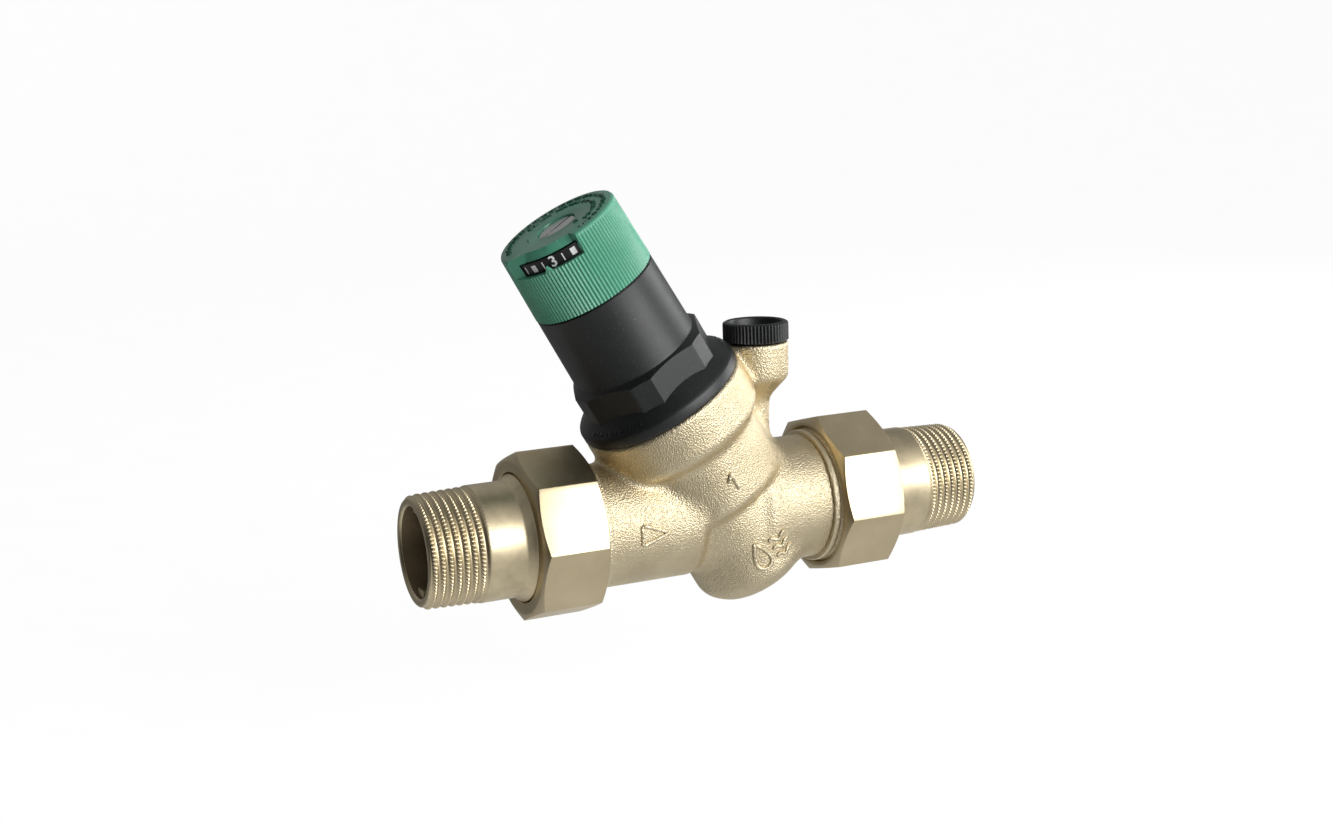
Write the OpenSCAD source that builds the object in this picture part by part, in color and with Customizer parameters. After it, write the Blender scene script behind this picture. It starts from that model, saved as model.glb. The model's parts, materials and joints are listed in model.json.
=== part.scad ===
// In-line water pressure regulator with a slanted spring bonnet.
// A cast Y-pattern body is joined to two male threaded tailpieces by union nuts.
// A green knob on the bonnet compresses the adjusting spring above a diaphragm.
// The diaphragm moves a balanced valve insert with its strainer in the body.
// X runs along the pipe with the flow. The origin is the centre of the inlet end face. Z is up.

/* [Pipe line] */
// Overall length between the two pipe ends
overall_len = 178; // [176:0.5:182]
// Outer radius of the R 1 pipe thread at its gauge plane
pipe_thread_r = 16.6; // [16.4:0.05:16.8]
// Length of the threaded end of a tailpiece
pipe_thread_len = 17; // [14:0.5:19]
// Bore radius of a tailpiece
tail_bore_r = 13.1; // [12:0.1:13.4]
// Shank radius of a tailpiece behind its thread
tail_shank_r = 16.95; // [16.8:0.05:17.1]
// Turning of the outlet nut against the inlet nut, degrees
outlet_nut_turn = -7.5; // [-22:0.5:22]

/* [Union nuts] */
// Distance of a nut's outer face from the pipe end
nut_start = 30.5; // [30:0.1:31]
// Length of a union nut along the pipe
nut_len = 20.4; // [20:0.1:21]
// Width across two flats of the eight-sided nut
nut_flats = 46.5; // [46:0.5:48]
// Radius of the union thread on the body
union_thread_r = 20.9; // [20.8:0.05:20.95]

/* [Body casting] */
// Where the bonnet axis crosses the pipe axis
cross_x = 98.5; // [98:0.1:99]
// Lean of the bonnet axis towards the inlet, degrees from vertical
lean = 30; // [29:0.5:31]
// Outer radius of the inlet branch
inlet_r = 18.3; // [18:0.1:18.6]
// Outer radius of the outlet branch
outlet_r = 18.9; // [18.5:0.1:19.2]
// Outer radius of the bowl under the bonnet
bowl_r = 25.6; // [25.4:0.1:26]
// Outer radius of the middle chamber
chamber_r = 21.8; // [21.5:0.1:22]
// Outer radius of the bottom cup
cup_r = 18.4; // [18.2:0.1:18.8]

/* [Bonnet and knob] */
// Radius of the bonnet's bottom flange
flange_r = 25.5; // [25.2:0.1:25.8]
// Corner radius of the bonnet's wrench section
wrench_corner_r = 22; // [21.5:0.1:22.2]
// Outer radius of the adjusting knob
knob_r = 18.8; // [18.6:0.1:19]
// Number of grip ribs round the knob
knob_ribs = 108; // [90:2:120]

/* [Gauge port] */
// Distance from the bonnet crossing to the gauge port axis
gauge_offset = 11.4; // [11.2:0.1:11.6]
// Outer radius of the gauge boss
gauge_boss_r = 9.7; // [9.5:0.1:9.8]
// Height of the top of the gauge boss
gauge_top = 49.6; // [49:0.1:50]

/* [Mechanism] */
// Opening of the valve disc below its seat at rest
valve_lift = 3.5; // [3:0.1:4]
// Module of the scale drive's gear teeth
gear_module = 0.6; // [0.58:0.01:0.6]
// Teeth of the fixed gear on the bonnet
sun_teeth = 20; // [20:20]
// Teeth of the pinion carried by the knob
pinion_teeth = 14; // [14:14]
// Side clearance of each gear tooth
tooth_play = 0.12; // [0.1:0.01:0.14]

/* [Hidden] */
$fn = 96;

brass_cast = [0.80, 0.75, 0.61];
brass_turned = [0.74, 0.66, 0.48];
black_plastic = [0.13, 0.14, 0.14];
green_plastic = [0.29, 0.59, 0.45];
steel = [0.72, 0.72, 0.70];
rubber = [0.08, 0.08, 0.08];
insert_plastic = [0.85, 0.84, 0.78];

eps = 0.01;
body_start = 40.4;                       // end face of the body at each side
union_thread_len = 11;
neck_r = 20.3;                           // plain ring between union thread and casting
cast_start = 52.9;
inlet_branch_end = 84;
outlet_branch_start = 104;
passage_end = 80;                        // the inlet passage stays above the chamber floor beyond here
core_r = 15.6;                           // solid middle that joins the two branches
gasket_t = 2;
flow_r = 13.1;

// Heights along the bonnet axis, measured from the pipe axis
bowl_bottom = 27;
bowl_top = 41.6;
insert_ledge = 27.6;
ledge_bore_r = 20.3;
diaphragm_seat = 30.4;
diaphragm_t = 1.2;
diaphragm_r = 22.2;
slip_ring_t = 1.1;
chamber_bottom = 6;
chamber_floor = 7;
land_bottom = -3;
cup_bottom = -23.6;
cup_shift = -1.7;
cup_floor = -19.5;
seat_bottom = -2.5;
seat_lip = 1;                            // height of the lip that the seal closes on
seal_top = seat_bottom - seat_lip - valve_lift;
disc_bottom = -12;
strainer_top = 23.6;
axis_reach = 40;                         // long enough to leave the body at either end of the bonnet axis
bowl_bore_r = 22.6;
chamber_bore_r = 16.6;
land_bore_r = 14.4;
bonnet_bore_r = 17;
bonnet_ceiling = 78.6;
knob_bottom = 81.6;
knob_top = 102.4;
window_floor = 96.4;
scale_bottom = 92.1;
scale_top = 99.9;
gear_bottom = 92.4;
gear_top = 96.6;
spring_bottom = 34.5;
spring_top = 66.5;
spring_mean_r = 12.6;
spring_wire_r = 2.3;
spindle_thread_r = 5;
stem_r = 3;
stem_hole_r = 3.05;
ring_teeth = sun_teeth + 2 * pinion_teeth;
pinion_r = gear_module * (sun_teeth + pinion_teeth) / 2;
pinion_pin_r = 1.5;
pinion_angle = 50;                       // the pinion stands opposite the window
window_angles = [-172, -99.4];
pointer_angle = -133;

gauge_x = cross_x + gauge_offset;
gauge_thread_r = 6.58;
gauge_thread_depth = 12;
gauge_seal_r = 8.2;
gauge_seal_depth = 1.7;
pilot_hole_r = 1.25;

// ---------- placing ----------
// Stands a shape on the bonnet axis at height t.
module on_bonnet(t = 0) {
    translate([cross_x, 0, 0]) rotate([0, -lean, 0]) translate([0, 0, t]) children();
}

// Lays a shape's Z axis along the pipe at position x.
module along_pipe(x = 0) {
    translate([x, 0, 0]) rotate([0, 90, 0]) children();
}

// The outlet side repeats the inlet side, seen from the other end.
module mirrored_to_outlet() {
    translate([overall_len, 0, 0]) mirror([1, 0, 0]) children();
}

// A ring or disc: outer radius, inner radius, height.
module ring(ro, ri, h) {
    difference() {
        cylinder(r = ro, h = h);
        translate([0, 0, -1]) cylinder(r = ri, h = h + 2);
    }
}

// A solid of round section whose lower edge is rounded with radius edge.
module round_bottom(r, edge, bottom, top) {
    rotate_extrude() {
        translate([0, bottom]) square([r - edge, top - bottom]);
        translate([0, bottom + edge]) square([r, top - bottom - edge]);
        intersection() {
            translate([r - edge, bottom + edge]) circle(r = edge);
            translate([0, bottom]) square([r, edge]);
        }
    }
}

// An O-ring lying flat on the bonnet axis.
module o_ring(mean_r, wire_r) {
    rotate_extrude() translate([mean_r, 0]) circle(r = wire_r, $fn = 24);
}

// A hexagon prism given by its width across flats.
module hexagon(flats, h) {
    cylinder(r = flats / 2 / cos(30), h = h, $fn = 6);
}

// ---------- gear teeth ----------
// Polar angle of an involute where it has reached radius r.
function involute_at(base_r, r) = let (a = acos(min(1, base_r / r))) tan(a) * 180 / PI - a;

// One flank's points from root to tip, as [radius, half tooth angle].
function flank(teeth, root_r, tip_r, play) =
    let (pitch_r = gear_module * teeth / 2, base_r = pitch_r * cos(20),
         half = 90 / teeth - play / pitch_r * 180 / PI / 2 + involute_at(base_r, pitch_r))
    [for (r = [root_r, max(root_r, base_r) + eps, pitch_r, (pitch_r + tip_r) / 2, tip_r])
        [r, half - (r > base_r ? involute_at(base_r, r) : 0)]];

// Outline of a gear with a tooth centred on the X axis.
module gear_outline(teeth, add, ded, play) {
    pitch_r = gear_module * teeth / 2;
    side = flank(teeth, pitch_r - ded, pitch_r + add, play);
    last = len(side) - 1;
    polygon([for (k = [0 : teeth - 1]) for (j = [0 : 2 * last + 1])
        let (p = j <= last ? side[j] : side[2 * last + 1 - j], sign = j <= last ? -1 : 1)
        p[0] * [cos(k * 360 / teeth + sign * p[1]), sin(k * 360 / teeth + sign * p[1])]]);
}

module outer_gear(teeth, h) {
    linear_extrude(h) gear_outline(teeth, gear_module, 1.25 * gear_module, tooth_play);
}

// The cutter that leaves an inward-toothed ring.
module inner_gear_cut(teeth, h) {
    linear_extrude(h) gear_outline(teeth, 1.25 * gear_module, gear_module, -tooth_play);
}

// ---------- body ----------
module body_outside() {
    along_pipe(body_start) cylinder(r = union_thread_r, h = union_thread_len);
    along_pipe(body_start) cylinder(r = neck_r, h = cast_start - body_start);
    along_pipe(cast_start) cylinder(r = inlet_r, h = inlet_branch_end - cast_start);
    along_pipe(inlet_branch_end - 1) cylinder(r = core_r, h = outlet_branch_start - inlet_branch_end + 2);
    along_pipe(outlet_branch_start)
        cylinder(r = outlet_r, h = overall_len - cast_start - outlet_branch_start);
    mirrored_to_outlet() {
        along_pipe(body_start) cylinder(r = union_thread_r, h = union_thread_len);
        along_pipe(body_start) cylinder(r = neck_r, h = cast_start - body_start);
    }
    on_bonnet() {
        round_bottom(bowl_r, 4, bowl_bottom, bowl_top);
        round_bottom(chamber_r, 3, chamber_bottom, bowl_bottom + 5);
        translate([cup_shift, 0, 0]) round_bottom(cup_r, 8, cup_bottom, chamber_bottom + 4);
    }
}

// Boss, cone and hollow neck that carry the gauge port above the outlet branch.
module gauge_boss() {
    neck_shift = 0.7;
    neck_bottom = 14;                        // inside the outlet branch
    port_neck_r = 3.4;
    cone_bottom = 33;
    cone_top = 38.2;
    translate([gauge_x, 0, 0]) {
        translate([0, 0, cone_top]) cylinder(r = gauge_boss_r, h = gauge_top - cone_top);
        translate([0, 0, cone_bottom]) cylinder(r1 = 4.2, r2 = gauge_boss_r, h = cone_top - cone_bottom);
        translate([neck_shift, 0, neck_bottom]) cylinder(r = port_neck_r, h = cone_bottom + 3 - neck_bottom);
    }
}

// The inlet branch opens into the chamber above its floor, all round the strainer.
module inlet_passage() {
    land_wall = 3.6;
    difference() {
        along_pipe(body_start - 1) cylinder(r = flow_r, h = passage_end - body_start + 1);
        on_bonnet(-axis_reach) cylinder(r = land_bore_r + land_wall, h = axis_reach + chamber_floor);
    }
    intersection() {
        along_pipe(passage_end - 1) cylinder(r = flow_r, h = cross_x - passage_end + 1);
        on_bonnet(chamber_floor) cylinder(r = axis_reach, h = axis_reach);
    }
}

// The outlet branch leaves below the valve seat and passes outside the chamber wall.
module outlet_passage() {
    chamber_wall = 4;
    difference() {
        along_pipe(cross_x) cylinder(r = flow_r, h = overall_len - body_start - cross_x + 1);
        on_bonnet(land_bottom) cylinder(r = chamber_bore_r + chamber_wall, h = axis_reach);
    }
}

module valve_body() {
    pilot_x = gauge_x + 1.3;                 // pressure hole down to the outlet passage
    color(brass_cast) difference() {
        union() {
            body_outside();
            gauge_boss();
        }
        inlet_passage();
        outlet_passage();
        on_bonnet() {
            translate([0, 0, diaphragm_seat]) cylinder(r = bowl_bore_r, h = 20);
            translate([0, 0, insert_ledge]) cylinder(r = ledge_bore_r, h = 10);
            translate([0, 0, chamber_floor]) cylinder(r = chamber_bore_r, h = 30);
            translate([0, 0, cup_floor]) cylinder(r = land_bore_r, h = axis_reach);
        }
        translate([gauge_x, 0, gauge_top - gauge_thread_depth]) cylinder(r = gauge_thread_r, h = 20);
        translate([gauge_x, 0, gauge_top - gauge_seal_depth]) cylinder(r = gauge_seal_r, h = 5);
        translate([pilot_x, 0, 0]) cylinder(r = pilot_hole_r, h = gauge_top - gauge_thread_depth + 1);
    }
}

// ---------- union joints ----------
module tailpiece() {
    flare_start = 28.1;
    flare_r = 18.6;
    collar_start = nut_start + 4.5;
    collar_r = 20.5;
    sleeve_end = body_start - gasket_t;
    color(brass_turned) difference() {
        union() {
            along_pipe() cylinder(r = pipe_thread_r, h = pipe_thread_len);
            along_pipe(pipe_thread_len) cylinder(r = tail_shank_r, h = flare_start - pipe_thread_len + 1);
            along_pipe(flare_start) cylinder(r1 = tail_shank_r, r2 = flare_r, h = nut_start - flare_start);
            along_pipe(nut_start) cylinder(r = flare_r, h = collar_start - nut_start + 1);
            along_pipe(collar_start) cylinder(r = collar_r, h = sleeve_end - collar_start);
        }
        along_pipe(-1) cylinder(r = tail_bore_r, h = overall_len / 2);
    }
    tailpiece_lugs();
}

// Two lugs in the bore hold the tool that screws a tailpiece into its pipe.
module tailpiece_lugs() {
    lug_start = 1.5;
    lug_len = 12;
    lug_w = 6;
    lug_rise = 2.2;
    color(brass_turned) for (side = [-1, 1]) intersection() {
        along_pipe(lug_start) ring(tail_bore_r + 0.3, tail_bore_r - lug_rise, lug_len);
        translate([lug_start + lug_len / 2, 0, side * tail_bore_r])
            cube([lug_len, lug_w, lug_w], center = true);
    }
}

module inlet_tailpiece() { tailpiece(); }
module outlet_tailpiece() { mirrored_to_outlet() tailpiece(); }

module gasket() {
    gasket_bore_r = 14;
    color(rubber) along_pipe(body_start - gasket_t) ring(neck_r, gasket_bore_r, gasket_t);
}

module inlet_gasket() { gasket(); }
module outlet_gasket() { mirrored_to_outlet() gasket(); }

// Eight-sided union nut with chamfered ends, at the inlet side.
module union_nut(turn) {
    corner_r = nut_flats / 2 / cos(22.5);
    shoulder = nut_start + 4.2;
    sleeve_bore_r = 18.9;
    mouth_r = 21.5;
    mouth_depth = 0.6;
    chamfer = 1.5;
    face_r = 22.2;
    color(brass_turned) difference() {
        intersection() {
            along_pipe(nut_start) rotate(turn) cylinder(r = corner_r, h = nut_len, $fn = 8);
            along_pipe(nut_start) rotate_extrude() polygon([[0, 0], [face_r, 0], [corner_r + 0.1, chamfer],
                [corner_r + 0.1, nut_len - chamfer], [face_r, nut_len], [0, nut_len]]);
        }
        along_pipe(nut_start - 1) cylinder(r = sleeve_bore_r, h = nut_len);
        along_pipe(shoulder) cylinder(r = union_thread_r + 0.1, h = nut_len);
        along_pipe(nut_start + nut_len - mouth_depth) cylinder(r = mouth_r, h = 2);
    }
}

module inlet_union_nut() { union_nut(0); }
module outlet_union_nut() { mirrored_to_outlet() union_nut(-outlet_nut_turn); }

// ---------- bonnet and adjusting parts ----------
// Hexagon with cut corners: wide flats between narrow ones.
module wrench_section(h) {
    wide_half = 21.5;
    first_flat = -83.6;
    linear_extrude(h) polygon([for (k = [0 : 5]) for (s = [-1, 1])
        let (a = first_flat + 60 * k + s * wide_half) wrench_corner_r * [cos(a), sin(a)]]);
}

module spring_bonnet() {
    flange_top = 45.6;
    shoulder_r = 21;                         // top of the cone over the flange
    wrench_top = 57.4;
    barrel_bottom_r = 19.4;
    barrel_top_r = 18.8;
    barrel_top = 81.3;
    knob_bearing_r = 15.6;
    gear_post_r = 7.6;
    gear_post_top = 91;
    thread_bottom = diaphragm_seat + diaphragm_t + slip_ring_t;
    spindle_hole_r = 4.08;
    color(black_plastic) difference() {
        union() {
            on_bonnet(thread_bottom) cylinder(r = bowl_bore_r - 0.1, h = bowl_top - thread_bottom);
            on_bonnet(bowl_top) cylinder(r = flange_r, h = flange_top - bowl_top);
            on_bonnet(flange_top) cylinder(r1 = flange_r, r2 = shoulder_r, h = 4);
            on_bonnet(flange_top) wrench_section(wrench_top - flange_top);
            on_bonnet(wrench_top - 1)
                cylinder(r1 = barrel_bottom_r, r2 = barrel_top_r, h = barrel_top - wrench_top + 1);
            on_bonnet(barrel_top - 0.3) cylinder(r = knob_bearing_r, h = 5);
            on_bonnet(barrel_top - 0.3) cylinder(r = gear_post_r, h = gear_post_top - barrel_top + 0.7);
            on_bonnet(gear_post_top) rotate(pinion_angle)
                outer_gear(sun_teeth, gear_top + 0.3 - gear_post_top);
        }
        on_bonnet(thread_bottom - 1) cylinder(r = bonnet_bore_r, h = bonnet_ceiling - thread_bottom + 1);
        on_bonnet(bonnet_ceiling - 1) cylinder(r = spindle_hole_r, h = 30);
        spring_plate_keyways();
    }
}

// Two keyways keep the spring plate from turning.
module spring_plate_keyways() {
    on_bonnet(60) for (a = [0, 180]) rotate(a) translate([14, -2, 0]) cube([3.9, 4, 16]);
}

module slip_ring() {
    color(steel) on_bonnet(diaphragm_seat + diaphragm_t) ring(diaphragm_r, bonnet_bore_r, slip_ring_t);
}

// Coil spring swept along its helix, with its end turns closed.
module adjusting_spring() {
    turns = 5;
    steps = 20;
    sides = 10;
    rings = turns * steps;
    low = spring_bottom + spring_wire_r + 0.1;
    high = spring_top - spring_wire_r - 0.1;
    function rise(f) = let (lead = 0.13) f < lead ? 0 : f > 1 - lead ? 1 : (f - lead) / (1 - 2 * lead);
    points = [for (i = [0 : rings])
        let (f = i / rings, a = 360 * turns * f, z = low + (high - low) * rise(f))
        for (j = [0 : sides - 1]) let (b = 360 * j / sides, r = spring_mean_r + spring_wire_r * cos(b))
        [r * cos(a), r * sin(a), z + spring_wire_r * sin(b)]];
    first_cap = [for (j = [0 : sides - 1]) j];
    last_cap = [for (j = [sides - 1 : -1 : 0]) rings * sides + j];
    walls = [for (i = [0 : rings - 1]) for (j = [0 : sides - 1])
        let (n = (j + 1) % sides, p = i * sides)
        [p + j, p + sides + j, p + sides + n, p + n]];
    color(steel) on_bonnet() polyhedron(points, concat([first_cap], walls, [last_cap]), convexity = 8);
}

// Nut that the spindle drives down onto the spring, with two keys and a centring spigot.
module spring_plate() {
    plate_r = 16.6;
    plate_t = 3.5;
    spigot_r = 9.8;
    hub_r = 8;
    color(brass_turned) on_bonnet() difference() {
        union() {
            translate([0, 0, spring_top]) cylinder(r = plate_r, h = plate_t);
            translate([0, 0, spring_top - 2.5]) cylinder(r = spigot_r, h = 4);
            translate([0, 0, spring_top]) cylinder(r = hub_r, h = 6.6);
            for (a = [0, 180]) rotate(a) translate([14, -1.7, spring_top]) cube([3.5, 3.4, plate_t]);
        }
        translate([0, 0, 60]) cylinder(r = spindle_thread_r + 0.08, h = 20);
    }
}

module adjusting_spindle() {
    thread_end = 56;
    collar_bottom = 75.2;
    drive_bottom = 97;
    color(steel) on_bonnet() difference() {
        union() {
            translate([0, 0, thread_end]) cylinder(r = spindle_thread_r, h = collar_bottom - thread_end);
            translate([0, 0, collar_bottom]) cylinder(r = 8.5, h = 2.3);
            translate([0, 0, collar_bottom]) cylinder(r = 4, h = drive_bottom + 0.2 - collar_bottom);
            translate([0, 0, drive_bottom]) hexagon(6.6, 2.7);
        }
        translate([0, 0, 86]) cylinder(r = 2.5, h = 20);
    }
}

module thrust_washer() {
    color(brass_turned) on_bonnet(bonnet_ceiling - 0.8) ring(9, 4.6, 0.8);
}

// Ring of grip ribs, drawn as an outline with one ridge per rib.
module ribbed_outline(r, ribs, depth) {
    polygon([for (i = [0 : 2 * ribs - 1])
        (r - (i % 2) * depth) * [cos(180 * i / ribs), sin(180 * i / ribs)]]);
}

// Wedge between two angles, wide enough to pass through the knob's wall.
module wedge(from, to, h) {
    reach = 30;
    linear_extrude(h) polygon(concat([[0, 0]], [for (s = [0 : 6]) let (a = from + (to - from) * s / 6)
        reach * [cos(a), sin(a)]]));
}

module adjusting_knob() {
    skirt_bore_r = 15.9;
    gear_room_r = 16.8;
    gear_room_bottom = scale_bottom - 0.3;
    roof = 100.2;
    screw_recess_r = 6.05;
    screw_seat = 99.9;
    hub_bottom = 97.3;
    hub_r = 7.4;
    pin_boss_r = 2.6;
    color(green_plastic) on_bonnet() {
        difference() {
            union() {
                translate([0, 0, knob_bottom]) linear_extrude(knob_top - 0.8 - knob_bottom)
                    ribbed_outline(knob_r, knob_ribs, 0.35);
                translate([0, 0, knob_top - 0.8]) cylinder(r1 = knob_r - 0.1, r2 = knob_r - 0.8, h = 0.8);
            }
            translate([0, 0, knob_bottom - 1]) cylinder(r = skirt_bore_r, h = roof - knob_bottom + 1);
            translate([0, 0, gear_room_bottom]) cylinder(r = gear_room_r, h = roof - gear_room_bottom);
            translate([0, 0, roof - 1]) cylinder(r = screw_recess_r, h = 5);
            // window onto the scale, with a sloping back above the scale ring
            translate([0, 0, window_floor]) intersection() {
                wedge(window_angles[0], window_angles[1], 10);
                rotate_extrude() polygon([[gear_room_r - 1, 0], [25, 0], [25, 7], [13.6, 7],
                    [14.2, knob_top - window_floor], [gear_room_r - 0.8, roof - window_floor],
                    [gear_room_r - 1, roof - window_floor - 0.5]]);
            }
        }
        // hub with the hexagon drive for the spindle
        translate([0, 0, hub_bottom]) difference() {
            cylinder(r = hub_r, h = 3.2);
            translate([0, 0, -1]) hexagon(6.8, 3.6);
            translate([0, 0, screw_seat - hub_bottom]) cylinder(r = screw_recess_r, h = 5);
        }
        rotate(pointer_angle) pointer();
        rotate(pinion_angle) translate([pinion_r, 0, gear_top + 0.3])
            cylinder(r = pin_boss_r, h = roof - gear_top);
        rotate(pinion_angle) translate([pinion_r, 0, gear_bottom - 0.3]) cylinder(r = pinion_pin_r, h = 8);
    }
}

// Small triangle that rises from the window's sill and marks the reading.
module pointer() {
    translate([knob_r - 1.3, 0, window_floor - 0.2]) rotate([90, 0, 90])
        linear_extrude(0.9) polygon([[-1.2, 0], [1.2, 0], [0, 1.6]]);
}

// The ring's teeth stand half a pitch on, so that one fills the pinion's outer gap.
module scale_ring() {
    scale_r = 16.5;
    rim_bore_r = 15.2;
    color(black_plastic) on_bonnet(scale_bottom) difference() {
        cylinder(r = scale_r, h = scale_top - scale_bottom);
        translate([0, 0, -1]) rotate(pinion_angle + 180 / ring_teeth)
            inner_gear_cut(ring_teeth, gear_top + 0.3 - scale_bottom + 1);
        translate([0, 0, gear_top + 0.3 - scale_bottom - eps]) cylinder(r = rim_bore_r, h = 10);
    }
}

module scale_pinion() {
    gap_to_sun = 180 + 180 / pinion_teeth;
    color(insert_plastic) on_bonnet(gear_bottom) rotate(pinion_angle) translate([pinion_r, 0, 0])
    difference() {
        rotate(gap_to_sun) outer_gear(pinion_teeth, gear_top - gear_bottom);
        translate([0, 0, -1]) cylinder(r = pinion_pin_r + 0.06, h = 10);
    }
}

module lock_screw() {
    head_bottom = 100;
    head_r = 5.85;
    thread_end = 88;
    slot_angle = 12;
    slot_w = 1.2;
    color(steel) on_bonnet() difference() {
        union() {
            translate([0, 0, head_bottom]) cylinder(r = head_r, h = 1.9);
            translate([0, 0, thread_end]) cylinder(r = 2.42, h = head_bottom - thread_end + eps);
        }
        rotate(slot_angle) translate([-8, -slot_w / 2, head_bottom + 0.9]) cube([16, slot_w, 3]);
    }
}

// ---------- diaphragm and valve ----------
// Rubber disc with one rolled corrugation outside the support plate.
module diaphragm() {
    roll_in = 15.3;
    roll_out = 16.7;
    color(rubber) on_bonnet(diaphragm_seat) difference() {
        union() {
            cylinder(r = diaphragm_r, h = diaphragm_t);
            ring(roll_out, roll_in, diaphragm_t + 1);
        }
        translate([0, 0, -1]) cylinder(r = 3.3, h = 5);
        translate([0, 0, -eps]) ring(roll_out - 0.4, roll_in + 0.4, 1);
    }
}

// Plate that carries the spring on the diaphragm, with a spigot inside the spring.
module diaphragm_plate() {
    plate_bottom = 31.9;
    color(steel) on_bonnet(plate_bottom) difference() {
        union() {
            cylinder(r = 15, h = spring_bottom - plate_bottom);
            cylinder(r = 9.8, h = 4.6);
        }
        translate([0, 0, -1]) cylinder(r = stem_hole_r, h = 10);
    }
}

module stem_nut() {
    color(steel) on_bonnet(36.5) difference() {
        hexagon(10, 3.6);
        translate([0, 0, -1]) cylinder(r = stem_hole_r, h = 10);
    }
}

// Stem and balance piston turned from one bar, drilled to pass outlet pressure up.
module valve_stem() {
    stem_bottom = -15.4;
    piston_bottom = 22.5;
    piston_r = 9;
    passage_top = 29.4;
    color(brass_turned) on_bonnet() difference() {
        union() {
            translate([0, 0, stem_bottom]) cylinder(r = stem_r, h = 57);
            translate([0, 0, piston_bottom]) cylinder(r = piston_r, h = 7.6);
        }
        translate([0, 0, piston_bottom + 0.9]) ring(9.5, 7.2, 2);
        translate([0, 0, stem_bottom - 1]) cylinder(r = 1, h = passage_top - stem_bottom + 1);
        translate([0, 0, passage_top - 1]) rotate([90, 0, 0])
            cylinder(r = 0.9, h = 40, center = true, $fn = 24);
    }
}

module piston_oring() {
    color(rubber) on_bonnet(24.4) o_ring(8.1, 0.88);
}

// Moulded carrier of the whole insert: it seals in the chamber above and in the land below.
module insert_cage() {
    rim_r = 20;
    collar_r = 16.2;
    barrel_r = 13.6;
    foot_r = 14.2;
    window_bottom = 10;
    window_top = 21.5;
    window_count = 6;
    color(insert_plastic) on_bonnet() difference() {
        union() {
            translate([0, 0, insert_ledge]) cylinder(r = rim_r, h = diaphragm_seat - insert_ledge);
            translate([0, 0, strainer_top]) cylinder(r = collar_r, h = 5);
            translate([0, 0, chamber_floor]) cylinder(r = barrel_r, h = 20);
            translate([0, 0, chamber_floor]) cylinder(r = collar_r, h = 1);
            translate([0, 0, seat_bottom]) cylinder(r = foot_r, h = chamber_floor - seat_bottom);
        }
        translate([0, 0, 24.8]) ring(17, 14.5, 1.9);
        translate([0, 0, 2]) ring(15, 12.4, 1.9);
        translate([0, 0, 28.7]) cylinder(r = 15, h = 5);
        translate([0, 0, 20]) cylinder(r = 9.06, h = 20);
        translate([0, 0, 0]) cylinder(r = 10.4, h = window_top);
        translate([0, 0, -4]) cylinder(r = 11.5, h = 4);
        for (k = [0 : window_count - 1]) rotate(360 / window_count * k)
            translate([5, -3.6, window_bottom]) cube([12, 7.2, window_top - window_bottom]);
    }
}

module insert_oring_upper() {
    color(rubber) on_bonnet(25.75) o_ring(15.6, 0.92);
}

module insert_oring_lower() {
    color(rubber) on_bonnet(2.95) o_ring(13.4, 0.92);
}

module strainer_sleeve() {
    color(steel) on_bonnet(chamber_floor + 1) ring(15.3, 14.8, strainer_top - chamber_floor - 1);
}

module seat_ring() {
    color(steel) on_bonnet(seat_bottom) difference() {
        union() {
            cylinder(r = 11.5, h = -seat_bottom);
            translate([0, 0, -seat_lip]) cylinder(r1 = 9.1, r2 = 9.9, h = seat_lip);
        }
        translate([0, 0, -5]) cylinder(r = 8.5, h = 20);
    }
}

module valve_disc() {
    color(brass_turned) on_bonnet() difference() {
        translate([0, 0, disc_bottom]) cylinder(r = 11, h = seal_top - 0.3 - disc_bottom);
        translate([0, 0, disc_bottom - 1]) cylinder(r = stem_hole_r, h = 20);
        translate([0, 0, seal_top - 2.5]) ring(10.4, 4.5, 5);
    }
}

module disc_seal() {
    color(rubber) on_bonnet(seal_top - 2.5) ring(10.4, 4.5, 2.4);
}

module disc_nut() {
    color(steel) on_bonnet(disc_bottom - 3) difference() {
        hexagon(8, 3);
        translate([0, 0, -1]) cylinder(r = stem_hole_r, h = 10);
    }
}

// ---------- gauge port ----------
module gauge_plug() {
    head_bottom = gauge_top + 0.3;
    head_h = 5.9;
    head_r = 9.9;
    shank_r = 6.5;
    color(black_plastic) translate([gauge_x, 0, 0]) difference() {
        union() {
            translate([0, 0, head_bottom]) linear_extrude(head_h - 0.5) ribbed_outline(head_r, 56, 0.4);
            translate([0, 0, head_bottom + head_h - 0.5])
                cylinder(r1 = head_r - 0.1, r2 = head_r - 0.5, h = 0.5);
            translate([0, 0, gauge_top - 11]) cylinder(r = shank_r, h = 13);
        }
        translate([0, 0, head_bottom + 2.6]) cylinder(r = 8, h = 5);
    }
}

module gauge_plug_oring() {
    color(rubber) translate([gauge_x, 0, gauge_top - 0.85]) o_ring(7.37, 0.8);
}

valve_body();
inlet_tailpiece();
outlet_tailpiece();
inlet_union_nut();
outlet_union_nut();
inlet_gasket();
outlet_gasket();
spring_bonnet();
slip_ring();
adjusting_spring();
spring_plate();
adjusting_spindle();
thrust_washer();
adjusting_knob();
scale_ring();
scale_pinion();
lock_screw();
diaphragm();
diaphragm_plate();
stem_nut();
valve_stem();
piston_oring();
insert_cage();
insert_oring_upper();
insert_oring_lower();
strainer_sleeve();
seat_ring();
valve_disc();
disc_seal();
disc_nut();
gauge_plug();
gauge_plug_oring();
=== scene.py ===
import json
import math

import bmesh
import bpy
import numpy as np
from mathutils import Matrix, Vector


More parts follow.
